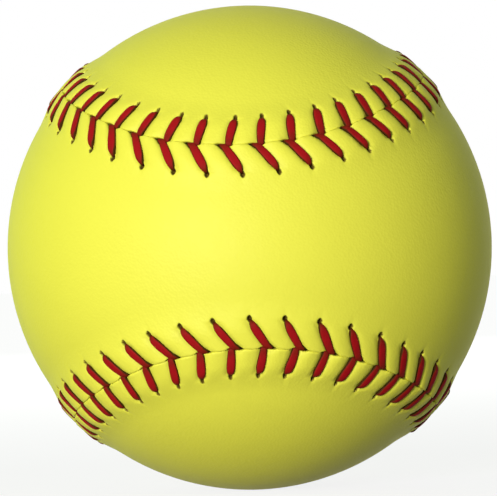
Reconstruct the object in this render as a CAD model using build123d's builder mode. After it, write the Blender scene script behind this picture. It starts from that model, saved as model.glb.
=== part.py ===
from build123d import *
import os
from collections import namedtuple
from math import atan2, cos, pi, radians, sin

os.makedirs("parts", exist_ok=True)

# Softball, in millimetres. The origin is the ball's centre and +Z is up.
# The front panel's waist faces -Y and its lobes reach round to +X and -X.
# The back panel's waist faces +Y and its lobes reach round to +Z and -Z.

# Sizes of the ball and its layers
circumference = 304.8
cover_thickness = 1.4
cement_thickness = 0.25
bond_clearance = 0.06

# Shape of the seam: angles seen from the ball's centre
waist_half_angle = 22.8
lobe_end_angle = 41.15
lobe_end_turn = 44.8

# Sizes of the sewn edge
edge_band = 9.5
edge_splice = 0.5
edge_thickness = 0.86
nose_width = 0.9
nose_drop = 0.3
seam_gap = 0.3

# Sizes of the stitches
stitch_count = 88
thread_diameter = 0.8
thread_clearance = 0.1
thread_bend_radius = 0.55
needle_offset = 6.1
needle_hole_clearance = 0.3
tuck_hole_clearance = 0.2
tuck_spacing = 2.7

# Places along the seam, as shares of the stitch pitch
first_stitch_share = 0.75
front_lean_share = 0.41
front_lean_swing_share = 0.41
back_lean_share = 0.35
back_lean_swing_share = 0.28
lean_peak_share = 0.8

# Places across the sewn edge, as shares of the needle offset
crest_start_share = 0.36
crest_end_share = 0.8
tunnel_end_share = 1.14
over_leg_middle_share = 0.45

# One overrun serves all cuts
cut_overrun = 1.0

# Sizes that follow
ball_radius = circumference / (2 * pi)
cover_inner_radius = ball_radius - cover_thickness
cement_outer_radius = cover_inner_radius - bond_clearance
cement_inner_radius = cement_outer_radius - cement_thickness
core_radius = cement_inner_radius - bond_clearance
thread_radius = thread_diameter / 2
tunnel_roof_radius = cement_outer_radius + thread_diameter + 2 * thread_clearance
crest_radius = tunnel_roof_radius + edge_thickness
under_radius = cement_outer_radius + thread_clearance + thread_radius
over_radius = crest_radius + thread_clearance + thread_radius
needle_hole_radius = thread_radius + needle_hole_clearance
tuck_hole_radius = thread_radius + tuck_hole_clearance

centre = Vector(0, 0, 0)

SeamArc = namedtuple("SeamArc", "pole spin start turn length side")


def about_centre(direction):
    """An axis through the ball's centre."""
    return Axis(centre, direction)


def across(point, target):
    """The unit direction that leaves a unit point square to it, towards a target."""
    return (target - point * target.dot(point)).normalized()


def mirrored(point):
    """The point's mirror image across the ball's middle plane."""
    return Vector(-point.X, point.Y, point.Z)


def next_quarter(point):
    """The same point on the next quarter of the seam, where the two panels change places."""
    return Vector(-point.Z, -point.Y, point.X)


# The quarter of the seam above the front waist is an arc round the end of the back panel's
# lobe, between two wider arcs that each run out at a point where the seam's bend changes side.
waist = Vector(0, -cos(radians(waist_half_angle)), sin(radians(waist_half_angle)))
lobe_tilt = radians(90 - waist_half_angle - lobe_end_angle)
lobe_pole = Vector(0, -sin(lobe_tilt), cos(lobe_tilt))
crossing = Vector(1, 0, 1).normalized()
join = waist.rotate(about_centre(lobe_pole), lobe_end_turn)
inward = across(join, lobe_pole)
flank_angle = atan2(1 - join.dot(crossing), inward.dot(crossing))
flank_pole = join * cos(flank_angle) + inward * sin(flank_angle)
quarter = [
    (flank_pole, crossing, join),
    (lobe_pole, join, mirrored(join)),
    (mirrored(flank_pole), mirrored(join), mirrored(crossing)),
]


def seam_arc(pole, start, end, side):
    """An arc of the seam round a pole. Its side is 1 where the pole is in the back panel."""
    out = across(pole, start)
    turn = out.get_angle(across(pole, end))
    spin = pole if pole.dot(start.cross(end)) > 0 else -pole
    length = ball_radius * radians(turn) * start.cross(pole).length
    return SeamArc(pole, spin, start, turn, length, side)


seam_arcs = []
for step in range(4):
    side = 1 if step % 2 == 0 else -1
    for pole, start, end in quarter:
        seam_arcs.append(seam_arc(pole, start, end, side))
    quarter = [tuple(next_quarter(point) for point in points) for points in quarter]
seam_length = sum(arc.length for arc in seam_arcs)
pitch = seam_length / stitch_count


def place(station, offset, radius):
    """A point at a station along the seam, an offset across it and a radius.
    A positive offset is on the back panel."""
    left = station % seam_length
    for arc in seam_arcs:
        if left <= arc.length or arc is seam_arcs[-1]:
            break
        left -= arc.length
    point = arc.start.rotate(about_centre(arc.spin), arc.turn * left / arc.length)
    angle = offset / ball_radius
    return (point * cos(angle) + across(point, arc.pole) * (arc.side * sin(angle))) * radius


def square_to_ball(point, radius):
    """A plane on a point's radius, facing outwards."""
    return Plane(origin=point.normalized() * radius, z_dir=point)


def lean(station, share, swing_share):
    """How far behind its tuck a needle hole lies. It swells and shrinks along the seam."""
    phase = 4 * station / seam_length - lean_peak_share
    return pitch * (share + swing_share * cos(pi * phase))


def tuck(stitch, side):
    """The station where a leg dives into the seam. The back panel's legs dive first."""
    station = (stitch + first_stitch_share) * pitch
    return station if side < 0 else station - tuck_spacing


def needle(stitch, side):
    """The station of a needle hole."""
    station = (stitch + first_stitch_share) * pitch
    if side < 0:
        return station - lean(station, front_lean_share, front_lean_swing_share)
    return station - lean(station, back_lean_share, back_lean_swing_share)


def arc_plane(arc):
    """The plane across the seam at an arc's start. Its X axis is the radius at the seam."""
    return Plane(origin=centre, x_dir=arc.start, z_dir=arc.start.cross(across(arc.start, arc.pole)))


def across_seam(offset, radius):
    """A point in an arc's plane, at an offset from the seam and a radius."""
    angle = offset / ball_radius
    return (radius * cos(angle), radius * sin(angle))


def constant_radius(start, end, radius):
    """An arc that follows the ball across the seam."""
    middle = (start + end) / 2
    ThreePointArc(
        across_seam(start, radius),
        across_seam(middle, radius),
        across_seam(end, radius),
    )


# Core: the moulded ball
with BuildPart() as core:
    Sphere(core_radius)

# Cement film: the layer that bonds the cover to the core
with BuildPart() as cement_film:
    Sphere(cement_outer_radius)
    Sphere(cement_inner_radius, mode=Mode.SUBTRACT)


def splice_point(hand, overrun):
    """A point on the slanted line where a panel's middle meets its sewn edge. It is at the
    outer face, or past it by a positive overrun or past the inner face by a negative one."""
    inner = Vector(*across_seam(hand * edge_band, cover_inner_radius))
    outer = Vector(*across_seam(hand * (edge_band + edge_splice), ball_radius))
    slant = (outer - inner).normalized()
    point = inner + slant * overrun if overrun < 0 else outer + slant * overrun
    return (point.X, point.Y)


# Cover blanks: the flat middles of both panels, inside their sewn edges
with BuildPart() as cover_blanks:
    Sphere(ball_radius)
    Sphere(cover_inner_radius, mode=Mode.SUBTRACT)
    for arc in seam_arcs:
        with BuildSketch(arc_plane(arc)):
            with BuildLine():
                Polyline(
                    splice_point(-1, -cut_overrun),
                    across_seam(0, cover_inner_radius - 2 * cut_overrun),
                    splice_point(1, -cut_overrun),
                    splice_point(1, cut_overrun),
                    across_seam(0, ball_radius + 2 * cut_overrun),
                    splice_point(-1, cut_overrun),
                    close=True,
                )
            make_face()
        revolve(axis=about_centre(arc.spin), revolution_arc=arc.turn, mode=Mode.SUBTRACT)
front_blank, back_blank = cover_blanks.part.solids().sort_by(Axis.Y)


def sewn_panel(blank, side):
    """A cover panel: its middle, the raised edge that hides the thread, and its holes."""
    crest_start = crest_start_share * needle_offset
    crest_end = crest_end_share * needle_offset
    slope_middle = (crest_end + edge_band) / 2
    tunnel_end = tunnel_end_share * needle_offset
    nose_radius = tunnel_roof_radius + edge_thickness / 3
    stitches = range(stitch_count)
    needles = [place(needle(stitch, side), side * needle_offset, 1) for stitch in stitches]
    tucks = [place(tuck(stitch, leg), 0, 1) for stitch in stitches for leg in (-1, 1)]
    hole_top = over_radius + cut_overrun
    hole_depth = hole_top - cover_inner_radius + cut_overrun
    with BuildPart() as panel:
        add(blank)
        for arc in seam_arcs:
            hand = side * arc.side
            with BuildSketch(arc_plane(arc)):
                with BuildLine():
                    Line(
                        splice_point(hand, 0),
                        across_seam(hand * edge_band, cover_inner_radius),
                    )
                    Line(
                        across_seam(hand * edge_band, cover_inner_radius),
                        across_seam(hand * tunnel_end, tunnel_roof_radius),
                    )
                    constant_radius(hand * tunnel_end, hand * nose_width, tunnel_roof_radius)
                    Bezier(
                        across_seam(hand * nose_width, tunnel_roof_radius),
                        across_seam(hand * seam_gap / 2, tunnel_roof_radius),
                        across_seam(hand * seam_gap / 2, nose_radius),
                    )
                    Bezier(
                        across_seam(hand * seam_gap / 2, nose_radius),
                        across_seam(hand * seam_gap / 2, crest_radius - nose_drop),
                        across_seam(hand * nose_width, crest_radius - nose_drop / 2),
                        across_seam(hand * crest_start, crest_radius),
                    )
                    constant_radius(hand * crest_start, hand * crest_end, crest_radius)
                    Bezier(
                        across_seam(hand * crest_end, crest_radius),
                        across_seam(hand * slope_middle, crest_radius),
                        across_seam(hand * slope_middle, ball_radius),
                        splice_point(hand, 0),
                    )
                make_face()
            revolve(axis=about_centre(arc.spin), revolution_arc=arc.turn)
        with Locations(*[square_to_ball(point, hole_top) for point in needles]):
            Hole(radius=needle_hole_radius, depth=hole_depth)
        with Locations(*[square_to_ball(point, hole_top) for point in tucks]):
            Hole(radius=tuck_hole_radius, depth=hole_depth)
    return panel


front_panel = sewn_panel(front_blank, -1)
back_panel = sewn_panel(back_blank, 1)


def stitch_corners(stitch, leg):
    """A stitch's route. It comes up a needle hole on its own side, crosses over that panel,
    dives into the seam and runs under the other panel, up that panel's next hole."""
    up = needle(stitch, leg)
    down = tuck(stitch, leg)
    following = needle(stitch + 1, -leg)
    crest = down + (up - down) * over_leg_middle_share
    half_way = (down + following) / 2
    mid_hole_radius = (under_radius + over_radius) / 2
    return [
        place(up, leg * needle_offset, mid_hole_radius),
        place(up, leg * needle_offset, over_radius),
        place(crest, leg * needle_offset * over_leg_middle_share, over_radius),
        place(down, 0, over_radius),
        place(down, 0, under_radius),
        place(half_way, -leg * needle_offset / 2, under_radius),
        place(following, -leg * needle_offset, under_radius),
        place(following, -leg * needle_offset, mid_hole_radius),
    ]


def thread_stitch(stitch, leg):
    """One stitch of a thread, from hole to hole."""
    with BuildPart() as piece:
        with BuildLine() as route:
            FilletPolyline(*stitch_corners(stitch, leg), radius=thread_bend_radius)
        path = route.wire()
        with BuildSketch(Plane(origin=path @ 0, z_dir=path % 0)):
            Circle(thread_radius)
        sweep(path=path)
    return piece.part


def sewing_thread(first_leg):
    """A thread of the two-needle seam, all the way round the ball. Its stitches change sides."""
    legs = [first_leg if stitch % 2 == 0 else -first_leg for stitch in range(stitch_count)]
    stitches = [thread_stitch(stitch, leg) for stitch, leg in enumerate(legs)]
    with BuildPart() as thread:
        add(stitches)
    return thread


thread_one = sewing_thread(-1)
thread_two = sewing_thread(1)

print(f"seam length {seam_length:.1f} mm, stitch pitch {pitch:.3f} mm")

core.part.label = "core"
cement_film.part.label = "cement_film"
front_panel.part.label = "front_panel"
back_panel.part.label = "back_panel"
thread_one.part.label = "thread_one"
thread_two.part.label = "thread_two"

export_step(core.part, "parts/core.step")
export_step(cement_film.part, "parts/cement_film.step")
export_step(front_panel.part, "parts/front_panel.step")
export_step(back_panel.part, "parts/back_panel.step")
export_step(thread_one.part, "parts/thread_one.step")
export_step(thread_two.part, "parts/thread_two.step")
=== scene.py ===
"""Dresses a stitched softball: two leather panels, two waxed threads, the core and its cement."""

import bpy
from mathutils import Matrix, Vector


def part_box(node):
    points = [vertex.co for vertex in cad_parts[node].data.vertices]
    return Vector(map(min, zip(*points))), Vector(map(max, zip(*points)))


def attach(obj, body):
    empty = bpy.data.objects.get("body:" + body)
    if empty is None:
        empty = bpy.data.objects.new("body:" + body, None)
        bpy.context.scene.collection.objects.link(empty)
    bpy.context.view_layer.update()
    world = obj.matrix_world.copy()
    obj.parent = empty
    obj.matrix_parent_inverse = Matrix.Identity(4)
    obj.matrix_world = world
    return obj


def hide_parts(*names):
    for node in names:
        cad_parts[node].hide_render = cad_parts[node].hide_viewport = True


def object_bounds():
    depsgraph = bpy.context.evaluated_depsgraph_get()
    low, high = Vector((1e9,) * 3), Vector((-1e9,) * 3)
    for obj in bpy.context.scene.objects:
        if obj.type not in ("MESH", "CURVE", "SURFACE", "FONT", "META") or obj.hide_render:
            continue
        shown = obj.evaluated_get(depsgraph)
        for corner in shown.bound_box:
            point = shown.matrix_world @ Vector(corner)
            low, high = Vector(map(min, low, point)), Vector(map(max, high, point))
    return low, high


bl_info = {
    "name": "Stitched softball",
    "version": (1, 0, 0),
    "blender": (4, 5, 0),
    "location": "View3D > Sidebar > Softball",
    "description": "Builds the leather cover, the threads and the finish of a softball",
    "category": "Mesh",
}

from math import atan2, cos, pi, radians, sin

import bpy
import numpy as np
from mathutils import Matrix, Vector
from mathutils.geometry import delaunay_2d_cdt

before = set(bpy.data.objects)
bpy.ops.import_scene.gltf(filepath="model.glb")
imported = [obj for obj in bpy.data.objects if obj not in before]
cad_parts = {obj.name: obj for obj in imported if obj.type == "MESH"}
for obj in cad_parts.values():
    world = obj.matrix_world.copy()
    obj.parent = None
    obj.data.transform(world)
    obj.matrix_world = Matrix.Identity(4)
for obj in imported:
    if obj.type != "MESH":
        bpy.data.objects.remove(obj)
cad_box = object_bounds()

# Shapes are worked out in millimetres, and new_piece brings them to the frame's metres
MM = 0.001
BODY = "root"
FRONT = -1
BACK = 1
STITCHES = 88
BALL_RADIUS = float(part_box("front_panel")[1][0]) / MM
CEMENT_RADIUS = float(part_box("cement_film")[1][0]) / MM


class SoftballSizes(bpy.types.PropertyGroup):
    """Sizes of the seam and of the pieces that meet there."""

    waist_half_angle: bpy.props.FloatProperty(
        name="Waist half angle", description="From a panel's middle to the seam at its waist",
        subtype="ANGLE", default=radians(22.8))
    lobe_end_angle: bpy.props.FloatProperty(
        name="Lobe end angle", description="Radius of the seam round a lobe's end",
        subtype="ANGLE", default=radians(41.15))
    lobe_end_turn: bpy.props.FloatProperty(
        name="Lobe end turn", description="Half of the turn of the seam round a lobe's end",
        subtype="ANGLE", default=radians(44.8))
    leather: bpy.props.FloatProperty(
        name="Leather", description="Thickness of the cover",
        subtype="DISTANCE", default=1.4 * MM)
    edge_leather: bpy.props.FloatProperty(
        name="Edge leather", description="Thickness of the cover beside the seam",
        subtype="DISTANCE", default=0.86 * MM)
    edge_band: bpy.props.FloatProperty(
        name="Edge band", description="Width of the raised edge of a panel",
        subtype="DISTANCE", default=9.8 * MM)
    edge_raise: bpy.props.FloatProperty(
        name="Edge raise", description="Height of the raised edge",
        subtype="DISTANCE", default=0.78 * MM)
    puff: bpy.props.FloatProperty(
        name="Puff", description="Swell of the leather between two stitches",
        subtype="DISTANCE", default=0.30 * MM)
    press: bpy.props.FloatProperty(
        name="Press", description="How deep a thread presses into the leather",
        subtype="DISTANCE", default=0.34 * MM)
    needle_offset: bpy.props.FloatProperty(
        name="Needle offset", description="From the seam to a needle hole",
        subtype="DISTANCE", default=5.6 * MM)
    needle_length: bpy.props.FloatProperty(
        name="Needle hole length", description="Length of a needle hole along its leg",
        subtype="DISTANCE", default=1.75 * MM)
    needle_width: bpy.props.FloatProperty(
        name="Needle hole width", description="Width of a needle hole",
        subtype="DISTANCE", default=0.88 * MM)
    thread_width: bpy.props.FloatProperty(
        name="Thread width", description="Width of a flattened leg",
        subtype="DISTANCE", default=1.70 * MM)
    thread_height: bpy.props.FloatProperty(
        name="Thread height", description="Height of a flattened leg",
        subtype="DISTANCE", default=0.95 * MM)


class SoftballColours(bpy.types.PropertyGroup):
    """Colours of the finishes."""

    leather: bpy.props.FloatVectorProperty(
        name="Leather", description="Optic yellow of the cover", subtype="COLOR", size=3,
        default=(0.815, 0.80, 0.066))
    # Painted shade: the dark olive painted into the needle holes, down the seam's edge and beside
    # the legs
    crease: bpy.props.FloatVectorProperty(
        name="Crease", description="Olive of the leather in holes and creases", subtype="COLOR",
        size=3, default=(0.115, 0.072, 0.004))
    thread: bpy.props.FloatVectorProperty(
        name="Thread", description="Red of the waxed thread", subtype="COLOR", size=3,
        default=(0.35, 0.0060, 0.0085))
    # Painted shade: the dark red painted on the thread's sides and where it sinks in, also used
    # for its darker fibres
    thread_dark: bpy.props.FloatVectorProperty(
        name="Thread edge", description="Dark red of the thread's sides", subtype="COLOR", size=3,
        default=(0.052, 0.020, 0.0020))
    core: bpy.props.FloatVectorProperty(
        name="Core", description="Cream of the moulded core", subtype="COLOR", size=3,
        default=(0.62, 0.56, 0.42))
    cement: bpy.props.FloatVectorProperty(
        name="Cement", description="Amber of the dried cement", subtype="COLOR", size=3,
        default=(0.50, 0.34, 0.13))


class Millimetres:
    """Reads a group's sizes, with the lengths in millimetres and the angles in radians."""

    def __init__(self, group):
        self.group = group

    def __getattr__(self, name):
        value = getattr(self.group, name)
        is_length = self.group.bl_rna.properties[name].subtype == "DISTANCE"
        return value / MM if is_length else value


def sizes():
    return Millimetres(bpy.context.scene.softball_sizes)


def colours():
    return bpy.context.scene.softball_colours


# Directions, smooth steps and noise


def unit(vectors):
    return vectors / np.linalg.norm(vectors, axis=-1, keepdims=True)


def across(point, target):
    """The unit direction that leaves a unit point square to it, towards a target."""
    return unit(target - point * np.sum(point * target, axis=-1, keepdims=True))


def turned(point, axis, angle):
    """Points turned about an axis through the ball's centre, each by its own angle."""
    angle = np.asarray(angle)[..., None]
    along = axis * np.sum(point * axis, axis=-1, keepdims=True)
    return (point - along) * np.cos(angle) + np.cross(axis, point) * np.sin(angle) + along


def smooth_step(low, high, value):
    share = np.clip((value - low) / (high - low), 0, 1)
    return share * share * (3 - 2 * share)


def bell(distance, width):
    return np.exp(-((distance / width) ** 2))


def stitch_noise(seed):
    """One small number for each stitch, the same on every run."""
    return np.random.default_rng(seed).uniform(-1, 1, STITCHES)


def at_stitch(values, position):
    """Stitch values read smoothly at any position along the seam."""
    position = np.asarray(position, dtype=float)
    index = np.floor(position).astype(int)
    share = smooth_step(0, 1, position - index)
    return values[index % STITCHES] * (1 - share) + values[(index + 1) % STITCHES] * share


# The seam

# How far a leg leans back from its tip, and where the threads dive behind the tip: a steady part
# and slow waves round the seam, each as a cosine and a sine in stitch pitches
LEAN_WAVES = {
    FRONT: ((0.481, 0.0), (-0.266, 0.121), (-0.147, -0.121), (-0.079, 0.034)),
    BACK: ((0.412, 0.0), (-0.290, 0.018), (-0.113, -0.072), (-0.163, 0.019)),
}
TUCK_WAVES = ((0.26, 0.0), (-0.089, 0.065))

# Where a tip lies in its stitch's pitch, and the legs' unevenness from stitch to stitch
TIP_SHARE = 0.75
LEG_SEED = 5
LEG_UNEVEN = 0.22

# A leg's sweep from the seam to its needle hole, as powers of its share of the way. The front
# panel's legs start from a share of the dive's place and bend softly there.
FRONT_BASE_SHARE = 0.45
FRONT_SOFT_SHARE = 0.08
FRONT_SWEEP = 0.78
BACK_SWEEP = 1.5


class Seam:
    """The closed seam on the ball, of twelve arcs, as the frame's panels have it."""

    def __init__(self):
        waist_angle = sizes().waist_half_angle
        end_angle = sizes().lobe_end_angle
        waist = np.array((0, -cos(waist_angle), sin(waist_angle)))
        tilt = pi / 2 - waist_angle - end_angle
        lobe_pole = np.array((0, -sin(tilt), cos(tilt)))
        crossing = unit(np.array((1.0, 0, 1.0)))
        join = turned(waist, lobe_pole, sizes().lobe_end_turn)
        inward = across(join, lobe_pole)
        flank = atan2(1 - join @ crossing, inward @ crossing)
        flank_pole = join * cos(flank) + inward * sin(flank)
        mirror = np.array((-1, 1, 1))
        quarter = [
            (flank_pole, crossing, join),
            (lobe_pole, join, join * mirror),
            (flank_pole * mirror, join * mirror, crossing * mirror),
        ]
        self.arcs = []
        for step in range(4):
            side = BACK if step % 2 == 0 else FRONT
            for pole, start, end in quarter:
                self.add_arc(pole, start, end, side)
            quarter = [tuple(np.array((-p[2], -p[1], p[0])) for p in points) for points in quarter]
        self.length = sum(arc[4] for arc in self.arcs)
        self.pitch = self.length / STITCHES

    def add_arc(self, pole, start, end, side):
        turn = float(np.arccos(np.clip(across(pole, start) @ across(pole, end), -1, 1)))
        spin = pole if pole @ np.cross(start, end) > 0 else -pole
        length = BALL_RADIUS * turn * float(np.linalg.norm(np.cross(start, pole)))
        self.arcs.append((pole, spin, start, turn, length, side))

    def place(self, station, offset, radius):
        """Points at stations along the seam, offsets across it into the back panel, and radii."""
        station, offset, radius = np.broadcast_arrays(station, offset, radius)
        left = station % self.length
        points = np.zeros(station.shape + (3,))
        begin = 0.0
        angle = (offset / BALL_RADIUS)[..., None]
        for pole, spin, start, turn, length, side in self.arcs:
            inside = (left >= begin) & (left <= begin + length)
            share = (left[inside] - begin) / length
            point = turned(start[None, :], spin, turn * share)
            into_back = across(point, pole) * side
            points[inside] = point * np.cos(angle[inside]) + into_back * np.sin(angle[inside])
            begin += length
        return points * radius[..., None]

    def wave(self, station, waves):
        """A slow wave round the seam, in millimetres."""
        turn = pi * 4 * station / self.length
        parts = [c * np.cos(n * turn) + s * np.sin(n * turn) for n, (c, s) in enumerate(waves)]
        return self.pitch * sum(parts)

    def tip(self, stitch):
        """The station of a stitch's tip."""
        return (stitch + TIP_SHARE) * self.pitch

    def leg(self, stitch, offset, side):
        """The station of a leg at an offset from the seam. The front panel's legs sweep in to
        the tip, and the back panel's stand nearly square to the seam a little behind it."""
        tip = self.tip(stitch)
        uneven = LEG_UNEVEN * at_stitch(stitch_noise(LEG_SEED + side), stitch)
        lean = self.wave(tip, LEAN_WAVES[side]) + uneven
        tuck = self.wave(tip, TUCK_WAVES)
        share = np.clip(offset / sizes().needle_offset, 0, 1)
        if side == FRONT:
            base = FRONT_BASE_SHARE * tuck
            start = FRONT_SOFT_SHARE**FRONT_SWEEP
            end = (1 + FRONT_SOFT_SHARE) ** FRONT_SWEEP
            curve = ((share + FRONT_SOFT_SHARE) ** FRONT_SWEEP - start) / (end - start)
        else:
            base = tuck
            curve = share**BACK_SWEEP
        return tip - base - (lean - base) * curve


# Meshes


def grid_faces(rows, columns, closed=False):
    """Faces between rows of points that each run once round. If closed, the last row is joined
    to the first."""
    faces = []
    for row in range(rows if closed else rows - 1):
        next_row = (row + 1) % rows
        for column in range(columns):
            next_column = (column + 1) % columns
            faces.append((
                row * columns + column,
                row * columns + next_column,
                next_row * columns + next_column,
                next_row * columns + column,
            ))
    return faces


def new_piece(name, points, faces):
    """A smooth mesh object from points in millimetres, with its faces turned outwards."""
    mesh = bpy.data.meshes.new(name)
    mesh.from_pydata((np.asarray(points) * MM).tolist(), [], faces)
    mesh.validate()
    piece = bpy.data.objects.new(name, mesh)
    bpy.context.collection.objects.link(piece)
    bpy.ops.object.select_all(action="DESELECT")
    piece.select_set(True)
    bpy.context.view_layer.objects.active = piece
    bpy.ops.object.shade_smooth()
    bpy.ops.object.mode_set(mode="EDIT")
    bpy.ops.mesh.select_all(action="SELECT")
    bpy.ops.mesh.normals_make_consistent(inside=False)
    bpy.ops.object.mode_set(mode="OBJECT")
    return piece


def point_values(piece, name, values):
    """Stores one number for each point, for the materials."""
    attribute = piece.data.attributes.new(name, "FLOAT", "POINT")
    attribute.data.foreach_set("value", np.asarray(values, dtype=np.float32))


def finish_piece(piece, material, slot, *nodes):
    piece.data.materials.append(material)
    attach(piece, BODY)
    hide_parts(*nodes)


# The leather panels

# Columns of points across the seam, in shares of a stitch: crowded beside its leg, then wider
NEAR_LEG_SHARE = 0.17
NEAR_LEG_COLUMNS = 13
CROWDING_SHARE = 0.45
FAR_COLUMNS = 7

# Rows of points on the outer face, counted from the border of the raised edge to the seam
BEYOND_HOLES = 1.1
BEFORE_HOLES = 0.9
SLOPE_ROWS = 5
HOLE_ROWS = 12
LEG_ROWS = 11

# Offset from the seam and drop below the outer face, where the edge turns down into the seam
EDGE_CURVE = ((0.65, 0.0), (0.36, 0.005), (0.19, 0.03), (0.08, 0.09), (0.01, 0.2), (0.0, 0.62))

# The same edge underneath, over the tunnel of the threads
TUNNEL_DROP = 0.5
TUNNEL_LIP = 0.12
TUNNEL_LIP_SHARE = 0.5
TUNNEL_OFFSETS = (0.7, 3.0)
TUNNEL_BEYOND_HOLES = 0.9


def column_positions():
    """Positions along the seam in stitches, closer together beside each leg."""
    share = np.linspace(-1, 1, NEAR_LEG_COLUMNS)
    near = NEAR_LEG_SHARE * ((1 - CROWDING_SHARE) * share + CROWDING_SHARE * share**3)
    far = np.linspace(NEAR_LEG_SHARE, 1 - NEAR_LEG_SHARE, FAR_COLUMNS + 2)[1:-1]
    one = np.concatenate((near, far))
    return np.concatenate([one + stitch for stitch in range(STITCHES)])


def panel_rows():
    """Rows from the middle's border to the seam and back underneath: offset, drop below the
    outer face, and how far the row is underneath."""
    s = sizes()
    outside = s.needle_offset + BEYOND_HOLES
    inside = s.needle_offset - BEFORE_HOLES
    rows = []
    for start, end, count in (
        (s.edge_band, outside, SLOPE_ROWS),
        (outside, inside, HOLE_ROWS),
        (inside, EDGE_CURVE[0][0], LEG_ROWS),
    ):
        rows += [(offset, 0.0, 0.0) for offset in np.linspace(start, end, count, endpoint=False)]
    rows += [(offset, drop, 0.0) for offset, drop in EDGE_CURVE]
    roof = s.edge_leather + TUNNEL_DROP
    rows.append((TUNNEL_LIP, roof, TUNNEL_LIP_SHARE))
    for offset in (*TUNNEL_OFFSETS, s.needle_offset + TUNNEL_BEYOND_HOLES):
        rows.append((offset, roof, 1.0))
    rows.append((s.edge_band, s.leather, 1.0))
    return rows


# The puckers: seeds of the unevenness from stitch to stitch, and its share of each form
PUFF_SEED = 11
SINK_SEED = 17
FOLD_SEED = 23
PUFF_UNEVEN_SHARE = 0.28
SINK_UNEVEN_SHARE = 0.2
FOLD_UNEVEN_SHARE = 0.25

# Where the raised edge starts to slope down, from the seam
CREST_END = 2.8

# The swell between legs: how far its middle comes before half way in stitches, the share of it
# that lies below the plain edge, where it fades at the needle holes, and its extra at the seam
PUFF_SHIFT = 0.03
PUFF_LOW_SHARE = 0.3
PUFF_FADE = (-2.4, 1.8)
SEAM_PUFF_SHARE = 0.35
SEAM_PUFF_END = 3.6

# The valley under a leg: the fall of its sides from its middle, and its end at the needle hole
VALLEY_SIDES = (0.5, 1.55)
VALLEY_FADE = (-0.9, 0.5)

# The dent and the pair of folds that run on beyond a needle hole
DENT_DEPTH = 0.08
DENT_WIDTH = 0.6
DENT_LEAN = 0.1
DENT_FADE = (0.2, 3.2)
FOLD_HEIGHT = 0.03
FOLD_PLACE = 1.0
FOLD_WIDTH = 0.55
FOLD_FADE = (0.4, 2.8)

# The needle hole, with its wall and its ring of painted shade, in shares of its own radius
HOLE_DEPTH = 1.0
HOLE_WALL_SHARES = (0.55, 1.0)
HOLE_SHADE_SHARES = (0.9, 1.15)

# A thin line of painted shadow where the leather meets the sides of a leg
CONTACT_SHADE = 0.12
CONTACT_PLACE = 0.9
CONTACT_WIDTH = 0.2


def raised_edge(offset):
    """Height of a panel's plain raised edge above the ball."""
    s = sizes()
    return s.edge_raise * (1 - smooth_step(CREST_END, s.edge_band, offset))


def swell(side, positions, offset):
    """The puff of the leather between the legs."""
    s = sizes()
    uneven = 1 + PUFF_UNEVEN_SHARE * at_stitch(stitch_noise(PUFF_SEED + side), positions)
    between = 0.5 - 0.5 * np.cos(2 * pi * (positions + PUFF_SHIFT))
    reach = 1 - smooth_step(*PUFF_FADE, offset - s.needle_offset)
    reach += SEAM_PUFF_SHARE * (1 - smooth_step(0.0, SEAM_PUFF_END, offset))
    return s.puff * uneven * (between - PUFF_LOW_SHARE) * reach


def folds(side, stitch, along, beyond, sink):
    """The dent and the folds beyond a needle hole."""
    ridge = 1 + FOLD_UNEVEN_SHARE * stitch_noise(FOLD_SEED + side)[stitch]
    dent = DENT_DEPTH * sink * bell(along - DENT_LEAN * beyond, DENT_WIDTH)
    pair = bell(along - FOLD_PLACE, FOLD_WIDTH) * ridge
    pair += bell(along + FOLD_PLACE, FOLD_WIDTH) * (2 - ridge)
    rise = FOLD_HEIGHT * pair * (1 - smooth_step(*FOLD_FADE, beyond))
    return rise - dent * (1 - smooth_step(*DENT_FADE, beyond))


def panel_face(seam, side, positions, offset):
    """Height of a panel's outer face above the ball and its painted shade, at one offset."""
    s = sizes()
    nearest = np.round(positions)
    stitch = nearest.astype(int) % STITCHES
    along = (positions - nearest) * seam.pitch
    beyond = offset - s.needle_offset
    sink = 1 + SINK_UNEVEN_SHARE * stitch_noise(SINK_SEED + side)[stitch]
    on_leg = 1 - smooth_step(*VALLEY_FADE, beyond)
    height = raised_edge(offset) + swell(side, positions, offset)
    height -= s.press * sink * (1 - smooth_step(*VALLEY_SIDES, np.abs(along))) * on_leg
    if beyond > 0:
        height += folds(side, stitch, along, beyond, sink)
    pit = np.hypot(2 * along / s.needle_width, 2 * beyond / s.needle_length)
    height -= HOLE_DEPTH * (1 - smooth_step(*HOLE_WALL_SHARES, pit))
    # Painted shadow on the leather along both sides of the leg
    painted_contact_shadow = CONTACT_SHADE * bell(np.abs(along) - CONTACT_PLACE, CONTACT_WIDTH) * on_leg
    # Painted shade in and round the needle hole, plus the painted shadow beside the leg
    crease = np.clip(1 - smooth_step(*HOLE_SHADE_SHARES, pit) + painted_contact_shadow, 0, 1)
    return height, crease


# The pocket at the seam: where it opens from the threads' dive and closes from the tip, the gap
# beside it, and how deep and wide the leather turns down into it
POCKET_OPENS = (-1.1, -0.5)
POCKET_CLOSES = (-0.35, 0.7)
SLIT_GAP = 0.003
POCKET_GAP = 0.26
GAP_WIDTH = 0.9
POCKET_DEPTH = 0.2
POCKET_WIDTH = 0.8

# The painted shade of the edge inside the seam, by its drop, and its share away from the pockets
EDGE_SHADE_DROPS = (0.06, 0.5)
EDGE_SHADE_SHARE = 0.15


def seam_gap(seam, side, positions):
    """Half the gap at the seam, and how far it opens into a pocket where the threads dive."""
    station = seam.leg(positions, 0.0, side)
    tip = seam.tip(np.round(station / seam.pitch - TIP_SHARE))
    ahead = station - tip
    opens = smooth_step(*POCKET_OPENS, ahead + seam.wave(tip, TUCK_WAVES))
    pocket = opens * (1 - smooth_step(*POCKET_CLOSES, ahead))
    return SLIT_GAP + POCKET_GAP * pocket, pocket


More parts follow.
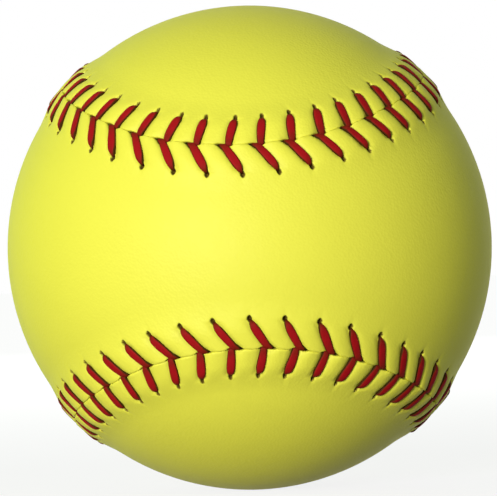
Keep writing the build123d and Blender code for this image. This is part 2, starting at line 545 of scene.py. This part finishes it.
def leather_panel(name, seam, side):
    """One figure-8 panel as a closed leather skin with sewn, puckered edges."""
    positions = column_positions()
    rows = panel_rows()
    gap, pocket = seam_gap(seam, side, positions)
    points = []
    painted_shades = []
    for offset, drop, under in rows:
        height, crease = panel_face(seam, side, positions, offset)
        height = height * (1 - under) + raised_edge(offset) * under
        height -= drop + POCKET_DEPTH * pocket * bell(offset, POCKET_WIDTH)
        # Painted shade down the seam's edge, strongest in the pockets
        shade_share = EDGE_SHADE_SHARE + (1 - EDGE_SHADE_SHARE) * pocket
        shade = smooth_step(*EDGE_SHADE_DROPS, drop) * shade_share
        painted_shades.append(np.maximum(crease * (1 - under), shade))
        station = seam.leg(positions, offset, side)
        reach = side * (offset + gap * bell(offset, GAP_WIDTH))
        points.append(seam.place(station, reach, BALL_RADIUS + height))
    points = np.concatenate(points)
    faces = grid_faces(len(rows), len(positions))
    outer_loop = np.arange(len(positions))
    inner_loop = outer_loop + (len(rows) - 1) * len(positions)
    points, middle = fill_middle(seam, side, points, outer_loop, 0.0)
    faces += [face[::-1] for face in middle]
    points, middle = fill_middle(seam, side, points, inner_loop, sizes().leather)
    faces += middle
    if side == BACK:
        faces = [face[::-1] for face in faces]
    piece = new_piece(name, points, faces)
    painted_shades = np.concatenate(painted_shades)
    point_values(piece, "crease", np.append(painted_shades, np.zeros(len(points) - len(painted_shades))))
    return piece


# The plain middle of a panel: columns to each wider face of its border, the border's width, the
# spacing of the triangle net, its clearance from the border, and the area of a net point's cell
# as a share of the spacing squared
MIDDLE_STEP = 4
BORDER_WIDTH = 0.8
NET_SPACING = 1.25
NET_CLEARANCE_SHARE = 0.8
NET_CELL_SHARE = 0.866
NET_TOLERANCE = 1e-7
SEAM_SAMPLES = 1200
SEAM_SIDE_STEP = 0.5


def fill_middle(seam, side, points, loop, thickness):
    """Closes a panel inside its border loop: one row of wider faces, then a triangle net."""
    offset = sizes().edge_band + BORDER_WIDTH
    station = seam.leg(column_positions()[::MIDDLE_STEP], offset, side)
    border = seam.place(station, side * offset, BALL_RADIUS - thickness)
    first = len(points)
    count = len(border)
    faces = []
    for index in range(count):
        start = index * MIDDLE_STEP
        fine = [int(loop[(start + extra) % len(loop)]) for extra in range(MIDDLE_STEP + 1)]
        faces.append((*fine, first + (index + 1) % count, first + index))
    net = net_points(seam, side, offset + NET_CLEARANCE_SHARE * NET_SPACING)
    pole = np.array((0, side, 0.0))
    flat = np.concatenate((flattened(border, pole), flattened(net, pole)))
    flat = [Vector(point) for point in flat.tolist()]
    cut = delaunay_2d_cdt(flat, [], [list(range(count))], 1, NET_TOLERANCE)
    index_of = {new: old[0] for new, old in enumerate(cut[3]) if old}
    faces += [tuple(first + index_of[corner] for corner in face) for face in cut[2]]
    return np.concatenate((points, border, net * (BALL_RADIUS - thickness))), faces


def flattened(points, pole):
    """Points of the ball laid flat round a pole, at their true distance from it."""
    direction = unit(points)
    height = np.clip(direction @ pole, -1, 1)
    angle = np.arccos(height)
    out = direction - height[:, None] * pole
    length = np.linalg.norm(out, axis=1)
    length[length == 0] = 1
    return np.stack((out[:, 0], out[:, 2]), axis=1) / length[:, None] * angle[:, None]


def net_points(seam, side, margin):
    """Evenly spread unit points on a panel, at least a margin from the seam."""
    number = int(4 * pi * BALL_RADIUS**2 / (NET_SPACING**2 * NET_CELL_SHARE))
    index = np.arange(number) + 0.5
    height = 1 - 2 * index / number
    around = pi * (1 + 5**0.5) * index
    flat = np.sqrt(1 - height**2)
    points = np.stack((flat * np.cos(around), height, flat * np.sin(around)), axis=1)
    stations = np.linspace(0, seam.length, SEAM_SAMPLES, endpoint=False)
    line = seam.place(stations, 0.0, 1.0)
    beside = seam.place(stations, SEAM_SIDE_STEP * side, 1.0)
    likeness = points @ line.T
    nearest = np.argmax(likeness, axis=1)
    distance = np.arccos(np.clip(np.max(likeness, axis=1), -1, 1)) * BALL_RADIUS
    inside = np.sum(points * (beside - line)[nearest], axis=1) > 0
    return points[inside & (distance > margin)]


# The threads

# The strand's section and its samples to each step of the route
RING_POINTS = 14
STEP_SAMPLES = 3
SIDE_ROUNDNESS = 0.6
TOP_ROUNDNESS = 0.65

# The unevenness of a leg's width from stitch to stitch
WIDTH_SEED = 31
WIDTH_UNEVEN_SHARE = 0.07

# Half of the stretch that gives the direction of the seam
DIRECTION_STEP = 0.3

# A leg from its needle hole to the seam: share of the needle's offset, share of the leg's width,
# lift above the leather, and painted shade, darker where the leg sinks in at the hole and the seam
LEG_PROFILE = (
    (0.905, 0.50, -0.42, 1.0),
    (0.87, 0.64, -0.06, 0.6),
    (0.80, 0.82, 0.12, 0.25),
    (0.70, 0.95, 0.17, 0.05),
    (0.57, 1.0, 0.18, 0.0),
    (0.43, 0.98, 0.16, 0.0),
    (0.30, 0.94, 0.12, 0.1),
    (0.19, 0.90, 0.07, 0.25),
    (0.105, 0.84, 0.02, 0.4),
)
LEG_LIFT = 0.06

# Beside the needle hole a leg follows the uneven leather more than the plain valley
BESIDE_HOLE_SHARE = 0.8
FOLLOW_SHARE = 0.6

# A leg's end on the seam: ahead along the seam, offset, lift, width, share of the height, painted
# shade
LEG_END = {
    FRONT: (0.04, 0.12, -0.1, 1.45, 0.8, 0.6),
    BACK: (0.0, 0.1, 0.0, 1.25, 0.9, 0.5),
}

# Its dive into the seam: ahead along the seam, offset, lift, width
LEG_DIVE = {
    FRONT: (0.12, -0.16, -0.6, 1.25),
    BACK: (0.04, -0.3, -0.55, 1.05),
}
DIVE_HEIGHT = 0.6

# The hidden run from the seam to the next needle hole, and up through it
HIDDEN_SHARES = (0.2, 0.45, 0.7, 0.9)
HIDDEN_WIDTH = 0.8
HIDDEN_HEIGHT = 0.75
HIDDEN_LIFT = 0.5
RISE_SHARE = 0.9
RISE_START_LIFT = 0.45
RISE_END_DROP = 0.3
RISE_END_HEIGHT = 0.7


def leg_height(seam, side, stitch, offset):
    """Radius of the leather's face under a leg."""
    height, _ = panel_face(seam, side, np.array([float(stitch)]), offset)
    return BALL_RADIUS + float(height[0])


def leg_station(seam, side, stitch, offset):
    return float(seam.leg(np.float64(stitch), offset, side))


def stitch_route(seam, stitch, side):
    """Centre points of one stitch, with the strand's width, height and painted shade at each."""
    s = sizes()
    needle = s.needle_offset
    wide = s.thread_width * (1 + WIDTH_UNEVEN_SHARE * stitch_noise(WIDTH_SEED + side)[stitch])
    tall = s.thread_height
    valley = BALL_RADIUS + s.edge_raise - PUFF_LOW_SHARE * s.puff - s.press
    tunnel = CEMENT_RADIUS + HIDDEN_LIFT
    rise = needle * RISE_SHARE
    hole = leg_station(seam, side, stitch, rise)
    top = BALL_RADIUS - RISE_END_DROP
    route = [
        (hole, side * rise, tunnel + RISE_START_LIFT, HIDDEN_WIDTH, HIDDEN_HEIGHT, 1.0),
        (hole, side * rise, top, HIDDEN_WIDTH, RISE_END_HEIGHT, 1.0),
    ]
    for share, width_share, lift, shade in LEG_PROFILE:
        station = leg_station(seam, side, stitch, needle * share)
        radius = valley + lift
        if share > BESIDE_HOLE_SHARE:
            face = leg_height(seam, side, stitch, needle * BESIDE_HOLE_SHARE)
            radius = radius * (1 - FOLLOW_SHARE) + FOLLOW_SHARE * (face + lift)
        radius += LEG_LIFT
        route.append((station, side * needle * share, radius, wide * width_share, tall, shade))
    seam_station = leg_station(seam, side, stitch, 0.0)
    ahead, offset, lift, width, height_share, shade = LEG_END[side]
    end = (seam_station + ahead, side * offset, valley + lift)
    route.append((*end, width, tall * height_share, shade))
    ahead, offset, lift, width = LEG_DIVE[side]
    dive = (seam_station + ahead, side * offset, valley + lift)
    route.append((*dive, width, DIVE_HEIGHT, 1.0))
    following = leg_station(seam, -side, stitch + 1, needle)
    for share in HIDDEN_SHARES:
        station = seam_station + (following - seam_station) * share
        offset = -side * needle * share
        route.append((station, offset, tunnel, HIDDEN_WIDTH, HIDDEN_HEIGHT, 1.0))
    return route


def smooth_through(values, samples):
    """A closed list of rows, read at a number of samples to each step on a smooth cubic curve
    through them."""
    before = np.roll(values, 1, axis=0)
    after = np.roll(values, -1, axis=0)
    beyond = np.roll(values, -2, axis=0)
    parts = []
    for share in np.arange(samples) / samples:
        a = -0.5 * share + share**2 - 0.5 * share**3
        b = 1 - 2.5 * share**2 + 1.5 * share**3
        c = 0.5 * share + 2 * share**2 - 1.5 * share**3
        d = -0.5 * share**2 + 0.5 * share**3
        parts.append(before * a + values * b + after * c + beyond * d)
    return np.stack(parts, axis=1).reshape(-1, values.shape[1])


def seam_direction(seam, station, offset):
    """The direction in which the seam runs, beside a station at an offset."""
    before = seam.place(station - DIRECTION_STEP, offset, 1.0)
    after = seam.place(station + DIRECTION_STEP, offset, 1.0)
    return unit(after - before)


def boxy(wave, roundness):
    """A sine or a cosine made squarer: at 1 it stays as it is, and below 1 it is flatter."""
    return np.sign(wave) * np.abs(wave) ** roundness


def sewing_thread(name, seam, first_side):
    """One continuous flattened thread, from hole to hole all the way round."""
    route = []
    for stitch in range(STITCHES):
        route += stitch_route(seam, stitch, first_side if stitch % 2 == 0 else -first_side)
    route = np.array(route)
    centres = seam.place(route[:, 0], route[:, 1], route[:, 2])
    tangent = seam_direction(seam, route[:, 0], route[:, 1])
    rows = smooth_through(np.concatenate((centres, route[:, 3:6], tangent), axis=1), STEP_SAMPLES)
    centres = rows[:, :3]
    ahead = unit(np.roll(centres, -1, axis=0) - np.roll(centres, 1, axis=0))
    across_leg = across(ahead, unit(rows[:, 6:9]))
    rise = np.cross(across_leg, ahead)
    around = np.arange(RING_POINTS) / RING_POINTS * 2 * pi
    sideways = rows[:, 3:4] / 2 * boxy(np.cos(around), SIDE_ROUNDNESS)
    upwards = rows[:, 4:5] / 2 * boxy(np.sin(around), TOP_ROUNDNESS)
    ring = (
        centres[:, None, :]
        + across_leg[:, None, :] * sideways[:, :, None]
        + rise[:, None, :] * upwards[:, :, None]
    )
    count = len(centres)
    piece = new_piece(name, ring.reshape(-1, 3), grid_faces(count, RING_POINTS, closed=True))
    point_values(piece, "top", np.tile(np.abs(np.sin(around)), count))
    # Painted shade where the thread sinks into the leather
    point_values(piece, "sunk", np.repeat(np.clip(rows[:, 5], 0, 1), RING_POINTS))
    steps = np.linalg.norm(np.roll(centres, -1, axis=0) - centres, axis=1)
    length = np.concatenate(((0,), np.cumsum(steps)[:-1]))
    point_values(piece, "along", np.repeat(length, RING_POINTS))
    point_values(piece, "around", np.tile(around, count))
    return piece


# Shader maths

# A Mix node's two colours among its inputs, and the mixed colour among its outputs
MIX_FIRST = 6
MIX_SECOND = 7
MIX_RESULT = 2


class Socket:
    """A node's output, which adds Math nodes when it is used in a sum."""

    def __init__(self, tree, output):
        self.tree = tree
        self.output = output

    def maths(self, operation, *values):
        return self.tree.node("ShaderNodeMath", {"operation": operation}, dict(enumerate(values)))

    def __add__(self, other):
        return self.maths("ADD", self, other)

    def __radd__(self, other):
        return self.maths("ADD", other, self)

    def __sub__(self, other):
        return self.maths("SUBTRACT", self, other)

    def __rsub__(self, other):
        return self.maths("SUBTRACT", other, self)

    def __mul__(self, other):
        return self.maths("MULTIPLY", self, other)

    def __rmul__(self, other):
        return self.maths("MULTIPLY", other, self)

    def sine(self):
        return self.maths("SINE", self)

    def limited(self):
        """The value, kept from 0 to 1."""
        return self.tree.node("ShaderNodeClamp", values={"Value": self})


class Tree:
    """A node tree under construction."""

    def __init__(self, tree):
        self.nodes = tree.nodes
        self.links = tree.links

    def feed(self, socket, value):
        """Links a socket or sets it. A colour is written as three channels."""
        if isinstance(value, Socket):
            self.links.new(value.output, socket)
        elif socket.type == "RGBA":
            socket.default_value = (*value, 1)
        else:
            socket.default_value = value

    def node(self, kind, settings=None, values=None, output=0):
        """Adds a node: its settings first, then the values or links of its sockets."""
        node = self.nodes.new(kind)
        for key, value in (settings or {}).items():
            setattr(node, key, value)
        for key, value in (values or {}).items():
            self.feed(node.inputs[key], value)
        return Socket(self, node.outputs[output])

    def blend(self, share, first, second):
        """A colour between two colours."""
        values = {"Factor": share, MIX_FIRST: first, MIX_SECOND: second}
        return self.node("ShaderNodeMix", {"data_type": "RGBA"}, values, MIX_RESULT)

    def background_rays(self):
        """1 for the rays that show the background, be they straight, mirrored or through glass."""
        straight, mirrored, through = (
            self.node("ShaderNodeLightPath", output=f"Is {kind} Ray")
            for kind in ("Camera", "Glossy", "Transmission")
        )
        return (straight + mirrored + through).limited()


def tone(colour, factor):
    """A colour made darker or lighter."""
    return tuple(min(1.0, channel * factor) for channel in colour)


class Finish(Tree):
    """A material under construction."""

    def __init__(self, name):
        self.material = bpy.data.materials.new(name)
        self.material.use_nodes = True
        super().__init__(self.material.node_tree)
        self.shader = self.nodes["Principled BSDF"]
        self.place = self.node("ShaderNodeTexCoord", output="Object")

    def attribute(self, name):
        return self.node("ShaderNodeAttribute", {"attribute_name": name}, output="Fac")

    def noise(self, scale, detail):
        values = {"Vector": self.place, "Scale": scale, "Detail": detail}
        return self.node("ShaderNodeTexNoise", values=values)

    def cells(self, scale):
        values = {"Vector": self.place, "Scale": scale}
        return self.node("ShaderNodeTexVoronoi", values=values, output="Distance")

    def bump(self, height, depth, strength):
        values = {"Height": height, "Distance": depth * MM, "Strength": strength}
        return self.node("ShaderNodeBump", values=values, output="Normal")

    def tones(self, pattern, colour, factors):
        """A colour that a pattern takes from a darker to a lighter tone."""
        return self.blend(pattern, *(tone(colour, factor) for factor in factors))

    def set(self, **values):
        for key, value in values.items():
            self.feed(self.shader.inputs[key.replace("_", " ")], value)


# The finishes. A noise has its repeats to a metre and its detail, a cell pattern its repeats, and
# a bump its depth in millimetres and its strength. The thread's twist is in radians, to each
# millimetre along the strand and to each radian round it. The rest are shares.

LEATHER_CLOUDS = (45.0, 3.0)
LEATHER_WRINKLES = (260.0, 3.0)
LEATHER_FIBRES = (900.0, 4.0)
LEATHER_PORES = 1900.0
LEATHER_BUMP = (0.09, 0.6)
LEATHER_TONES = (0.97, 1.02)
SPECKLE_TONE = 0.72
SPECKLE_STRENGTH = 0.12
PORE_SPECKLE = 0.35
FIBRE_SPECKLE = 0.2
PORE_GRAIN = 0.6
FIBRE_GRAIN = 0.5
WRINKLE_GRAIN = 0.8
LEATHER_ROUGHNESS = 0.50
FIBRE_ROUGHNESS = 0.12
CREASE_ROUGHNESS = 0.3
LEATHER_SHEEN = 0.24

THREAD_FIBRES = (1400.0, 3.0)
THREAD_BUMP = (0.07, 0.5)
TWIST_ALONG = 2.6
TWIST_AROUND = 2.0
TWIST_GRAIN = 0.35
FLANK_START = 1.75
FLANK_FALL = 2.15
SUNK_SHADE = 0.9
FIBRE_SHADE = 0.24
SHADE_START = 0.09
THREAD_ROUGHNESS = 0.55
THREAD_FIBRE_ROUGHNESS = 0.15
THREAD_SHEEN = 0.06

CORE_CLOUDS = (60.0, 4.0)
CORE_CELLS = 700.0
CORE_BUMP = (0.1, 0.4)
CORE_TONES = (0.9, 1.05)
CORE_ROUGHNESS = 0.6

CEMENT_STREAKS = (110.0, 5.0)
CEMENT_BUMP = (0.15, 0.5)
CEMENT_TONES = (0.75, 1.15)
CEMENT_ROUGHNESS = 0.35


def leather_finish():
    """Optic yellow leather with faint clouds, pores, fibres and wrinkles, with painted shade in
    the needle holes, down the seam and beside the legs.
    """
    finish = Finish("optic_yellow_leather")
    yellow = tuple(colours().leather)
    pores = finish.cells(LEATHER_PORES)
    fibre = finish.noise(*LEATHER_FIBRES)
    wrinkle = finish.noise(*LEATHER_WRINKLES)
    # The painted shade of the holes, the seam and the legs' sides, mixed into the colour
    crease = finish.attribute("crease")
    base = finish.tones(finish.noise(*LEATHER_CLOUDS), yellow, LEATHER_TONES)
    speckle = (pores * PORE_SPECKLE + fibre * FIBRE_SPECKLE).limited() * SPECKLE_STRENGTH
    base = finish.blend(speckle, base, tone(yellow, SPECKLE_TONE))
    grain = pores * PORE_GRAIN + fibre * FIBRE_GRAIN + wrinkle * WRINKLE_GRAIN
    roughness = LEATHER_ROUGHNESS + fibre * FIBRE_ROUGHNESS + crease * CREASE_ROUGHNESS
    finish.set(
        Base_Color=finish.blend(crease, base, tuple(colours().crease)),
        Roughness=roughness.limited(),
        Normal=finish.bump(grain, *LEATHER_BUMP),
        Specular_IOR_Level=LEATHER_SHEEN,
    )
    return finish.material


def thread_finish():
    """Waxed red thread with a slight twist and darker fibres, with painted shade on its sides and
    where it sinks in.
    """
    finish = Finish("waxed_red_thread")
    top = finish.attribute("top")
    sunk = finish.attribute("sunk")
    along = finish.attribute("along")
    around = finish.attribute("around")
    fibre = finish.noise(*THREAD_FIBRES)
    twist = (along * TWIST_ALONG + around * TWIST_AROUND).sine()
    # Painted shade on the strand's sides, away from its top
    flank = (FLANK_START - top * FLANK_FALL).limited()
    painted_shade_and_fibre_mask = (flank + sunk * SUNK_SHADE + fibre * FIBRE_SHADE - SHADE_START).limited()
    finish.set(
        Base_Color=finish.blend(painted_shade_and_fibre_mask, tuple(colours().thread), tuple(colours().thread_dark)),
        Roughness=THREAD_ROUGHNESS + fibre * THREAD_FIBRE_ROUGHNESS,
        Normal=finish.bump(twist * TWIST_GRAIN + fibre, *THREAD_BUMP),
        Specular_IOR_Level=THREAD_SHEEN,
    )
    return finish.material


def core_finish():
    """Cream moulded foam with a fine cell pattern."""
    finish = Finish("moulded_core")
    cloud = finish.noise(*CORE_CLOUDS)
    finish.set(
        Base_Color=finish.tones(cloud, tuple(colours().core), CORE_TONES),
        Roughness=CORE_ROUGHNESS,
        Normal=finish.bump(finish.cells(CORE_CELLS), *CORE_BUMP),
    )
    return finish.material


def cement_finish():
    """Dried amber cement in uneven streaks."""
    finish = Finish("dried_cement")
    streak = finish.noise(*CEMENT_STREAKS)
    finish.set(
        Base_Color=finish.tones(streak, tuple(colours().cement), CEMENT_TONES),
        Roughness=CEMENT_ROUGHNESS,
        Normal=finish.bump(streak, *CEMENT_BUMP),
    )
    return finish.material


# The stage, in metres and degrees

CAMERA_PLACE_MM = (9.3, -606.7, -3.2)
CAMERA_ROLL = -2.2
CAMERA_CLIP = (0.01, 100)
LENS_MM = 218.76
SENSOR_MM = 36.0
PHOTO_WIDTH = 497
BALL_CENTRE_PX = (249.7, 247.6)
PHOTO_CENTRE_PX = (248.5, 248.0)

WHITE = (1.0, 1.0, 1.0)
AMBIENT = 0.15
AMBIENT_COLOUR = (0.72, 1.0, 0.6)

# Azimuth, height, distance, size, watts, colour, shows in reflections
LAMPS = {
    "key": (-21, 6, 1.0, 0.35, 10.8, (0.985, 0.955, 1.0), True),
    "right_fill": (50, 10, 1.0, 0.6, 0.8, (1.0, 0.9, 1.0), False),
    "left_fill": (-125, 10, 1.0, 0.6, 1.9, (0.5, 1.0, 0.2), False),
    "back_fill": (178, 22, 1.0, 0.6, 2.4, WHITE, False),
}

FLOOR_RADIUS = 6.0
FLOOR_SIDES = 96
FLOOR_COLOUR = (0.16, 0.16, 0.16)
FLOOR_ROUGHNESS = 0.9
FLOOR_GLOW = 0.85
FLOOR_FAR_GLOW = 0.1
FLOOR_FADE_START = 0.1
FLOOR_FADE_WIDTH = 0.4


def add_camera():
    data = bpy.data.cameras.new("camera")
    data.lens = LENS_MM
    data.sensor_width = SENSOR_MM
    data.shift_x = (PHOTO_CENTRE_PX[0] - BALL_CENTRE_PX[0]) / PHOTO_WIDTH
    data.shift_y = (BALL_CENTRE_PX[1] - PHOTO_CENTRE_PX[1]) / PHOTO_WIDTH
    data.clip_start, data.clip_end = CAMERA_CLIP
    camera = bpy.data.objects.new("camera", data)
    place = Vector(CAMERA_PLACE_MM) * MM
    aim = (-place).to_track_quat("-Z", "Y").to_matrix().to_4x4()
    roll = Matrix.Rotation(radians(CAMERA_ROLL), 4, "Z")
    camera.matrix_world = Matrix.Translation(place) @ aim @ roll
    bpy.context.collection.objects.link(camera)
    bpy.context.scene.camera = camera


def add_floor():
    bpy.ops.object.select_all(action="DESELECT")
    bpy.ops.mesh.primitive_circle_add(
        vertices=FLOOR_SIDES, radius=FLOOR_RADIUS, fill_type="NGON",
        location=(0, 0, cad_box[0][2]), enter_editmode=False)
    floor = bpy.context.active_object
    floor.name = "floor"
    floor.data.materials.append(floor_finish())


def floor_finish():
    """A dull floor that glows white for the rays that show the background, so that only the
    ball's soft shadow shows on it."""
    finish = Finish("white_floor")
    finish.set(Base_Color=FLOOR_COLOUR, Roughness=FLOOR_ROUGHNESS, Specular_IOR_Level=0.0)
    length = {"operation": "LENGTH"}
    far = finish.node("ShaderNodeVectorMath", length, {0: finish.place}, output="Value")
    fade = ((far - FLOOR_FADE_START) * (1 / FLOOR_FADE_WIDTH)).limited()
    strength = finish.background_rays() * (FLOOR_GLOW + FLOOR_FAR_GLOW * fade)
    glow = finish.node("ShaderNodeEmission", values={"Strength": strength})
    surface = Socket(finish, finish.shader.outputs[0])
    both = finish.node("ShaderNodeAddShader", values={0: surface, 1: glow})
    finish.feed(finish.nodes["Material Output"].inputs["Surface"], both)
    return finish.material


def lamp_place(azimuth, height, distance):
    """A place round the ball, from the viewer's side towards the right."""
    azimuth = radians(azimuth)
    height = radians(height)
    level = distance * cos(height)
    return Vector((level * sin(azimuth), -level * cos(azimuth), distance * sin(height)))


def add_lamps():
    for name, (azimuth, height, distance, size, power, colour, mirrored) in LAMPS.items():
        data = bpy.data.lights.new(name, "AREA")
        data.shape = "DISK"
        data.size = size
        data.energy = power
        data.color = colour
        lamp = bpy.data.objects.new(name, data)
        lamp.location = lamp_place(azimuth, height, distance)
        lamp.rotation_euler = (-lamp.location).to_track_quat("-Z", "Y").to_euler()
        lamp.visible_camera = False
        lamp.visible_glossy = mirrored
        bpy.context.collection.objects.link(lamp)


def add_world():
    """A pale yellow-green light all round, and a white background."""
    world = bpy.data.worlds.new("studio")
    world.use_nodes = True
    sky = Tree(world.node_tree)
    white = sky.background_rays()
    background = sky.nodes["Background"]
    sky.feed(background.inputs["Color"], sky.blend(white, AMBIENT_COLOUR, WHITE))
    sky.feed(background.inputs["Strength"], AMBIENT + white * (1 - AMBIENT))
    bpy.context.scene.world = world


# Operators


class SOFTBALL_OT_inner_layers(bpy.types.Operator):
    """Finish the core and the cement film"""

    bl_idname = "softball.inner_layers"
    bl_label = "Core and cement"

    def execute(self, context):
        for node, material in (("core", core_finish()), ("cement_film", cement_finish())):
            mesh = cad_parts[node].data
            mesh.materials.clear()
            mesh.materials.append(material)
        return {"FINISHED"}


class SOFTBALL_OT_panels(bpy.types.Operator):
    """Model the two leather panels"""

    bl_idname = "softball.panels"
    bl_label = "Leather panels"

    def execute(self, context):
        seam = Seam()
        material = leather_finish()
        for name, side, node in (
            ("front_panel_leather", FRONT, "front_panel"),
            ("back_panel_leather", BACK, "back_panel"),
        ):
            piece = leather_panel(name, seam, side)
            finish_piece(piece, material, "cover", node)
        return {"FINISHED"}


class SOFTBALL_OT_threads(bpy.types.Operator):
    """Model the two threads of the seam"""

    bl_idname = "softball.threads"
    bl_label = "Threads"

    def execute(self, context):
        seam = Seam()
        material = thread_finish()
        for name, side, node in (
            ("thread_one_strand", FRONT, "thread_one"),
            ("thread_two_strand", BACK, "thread_two"),
        ):
            piece = sewing_thread(name, seam, side)
            finish_piece(piece, material, "thread", node)
        return {"FINISHED"}


class SOFTBALL_OT_stage(bpy.types.Operator):
    """Add the floor, the lamps and the camera"""

    bl_idname = "softball.stage"
    bl_label = "Stage"

    def execute(self, context):
        add_camera()
        add_floor()
        add_lamps()
        add_world()
        context.scene.view_settings.view_transform = "Standard"
        return {"FINISHED"}


class SOFTBALL_PT_panel(bpy.types.Panel):
    """Lists the operators, the sizes and the colours"""

    bl_idname = "SOFTBALL_PT_panel"
    bl_label = "Softball"
    bl_space_type = "VIEW_3D"
    bl_region_type = "UI"
    bl_category = "Softball"

    def draw(self, context):
        layout = self.layout
        for operator in OPERATORS:
            layout.operator(operator.bl_idname)
        for group in (context.scene.softball_sizes, context.scene.softball_colours):
            for name in group.bl_rna.properties.keys():
                if name not in ("rna_type", "name"):
                    layout.prop(group, name)


OPERATORS = (SOFTBALL_OT_inner_layers, SOFTBALL_OT_panels, SOFTBALL_OT_threads, SOFTBALL_OT_stage)
CLASSES = (SoftballSizes, SoftballColours, *OPERATORS, SOFTBALL_PT_panel)


def register():
    for item in CLASSES:
        bpy.utils.register_class(item)
    bpy.types.Scene.softball_sizes = bpy.props.PointerProperty(type=SoftballSizes)
    bpy.types.Scene.softball_colours = bpy.props.PointerProperty(type=SoftballColours)


def unregister():
    del bpy.types.Scene.softball_colours
    del bpy.types.Scene.softball_sizes
    for item in reversed(CLASSES):
        bpy.utils.unregister_class(item)


def main():
    register()
    bpy.ops.softball.inner_layers()
    bpy.ops.softball.panels()
    bpy.ops.softball.threads()
    bpy.ops.softball.stage()


if __name__ == "__main__":
    main()
